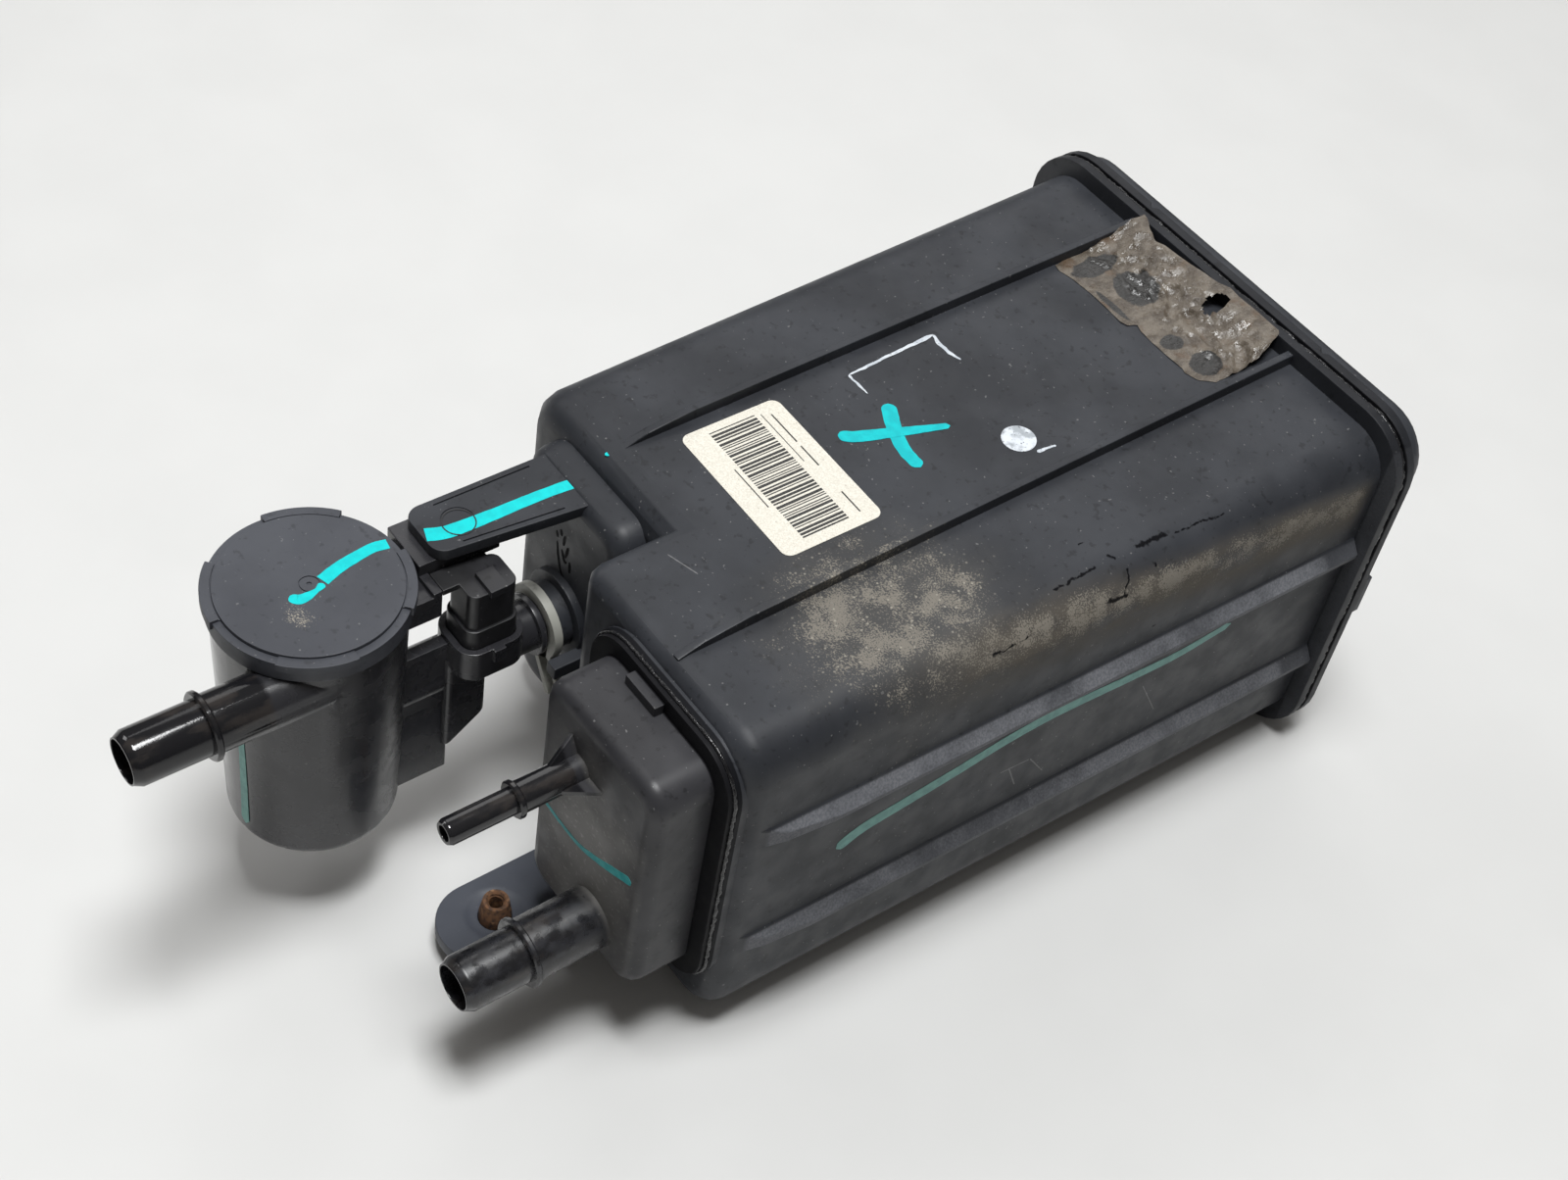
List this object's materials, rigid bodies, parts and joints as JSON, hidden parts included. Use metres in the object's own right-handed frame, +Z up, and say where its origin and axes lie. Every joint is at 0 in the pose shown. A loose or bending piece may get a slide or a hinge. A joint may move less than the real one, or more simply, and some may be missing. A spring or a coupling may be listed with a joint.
{
  "type": "charcoal canister",
  "caption": "Fuel vapour canister: ribbed two-chamber box with carbon beds, nozzle cover, mounting tab and a solenoid vent valve held at its front.",
  "frame": {"origin": "middle of the whole part, on the plane that its underside fins stand on", "axes": "+Z up, +Y from the nozzles to the rear cover, +X to the main chamber's side"},
  "size_m": [0.1712, 0.3826, 0.1406],
  "materials": {
    "body_plastic": "satin black moulded polyamide, scuffed and dusty",
    "cover_plastic": "satin black moulded polyamide",
    "rusty_steel": "rusted steel",
    "felt": "grey non-woven felt and foam",
    "carbon": "packed carbon pellets",
    "inner_plastic": "dark moulded plastic",
    "spring_steel": "drawn spring wire",
    "seal_rubber": "black rubber",
    "clip_plastic": "light grey moulded plastic",
    "valve_plastic": "semi-gloss black plastic",
    "lid_plastic": "matte black plastic",
    "coil_steel": "plated steel",
    "bobbin_plastic": "natural plastic",
    "copper": "enamelled copper wire",
    "sleeve_brass": "drawn brass",
    "connector_plastic": "black plastic"
  },
  "bodies": {
    "canister": {"canister_body": "body_plastic", "rear_cover": "body_plastic", "nozzle_cover": "cover_plastic", "tab_insert": "rusty_steel", "main_front_felt": "felt", "vent_front_felt": "felt", "main_carbon_bed": "carbon", "vent_carbon_bed": "carbon", "main_rear_felt": "felt", "vent_rear_felt": "felt", "main_pressure_plate": "inner_plastic", "vent_pressure_plate": "inner_plastic", "main_springs": "spring_steel", "vent_springs": "spring_steel", "port_seal": "seal_rubber", "port_retainer": "clip_plastic", "valve_housing": "valve_plastic", "valve_lid": "lid_plastic", "valve_filter": "felt", "seat_plate": "inner_plastic", "coil_yoke": "coil_steel", "coil_bobbin": "bobbin_plastic", "coil_winding": "copper", "pole_core": "coil_steel", "guide_sleeve": "sleeve_brass", "return_spring": "spring_steel", "connector_plug": "connector_plastic", "connector_terminals": "sleeve_brass"},
    "vent_plunger": {"plunger": "coil_steel", "valve_stem": "bobbin_plastic", "stem_seal": "seal_rubber"}
  },
  "joints": [
    {"name": "vent_plunger_slide", "type": "slide", "parent": "canister", "child": "vent_plunger", "axis": [0, 0, 1], "range_m": [0, 0.0025], "stiffness_N_per_m": 300, "springref_m": -0.003, "deforming": ["return_spring"]}
  ]
}
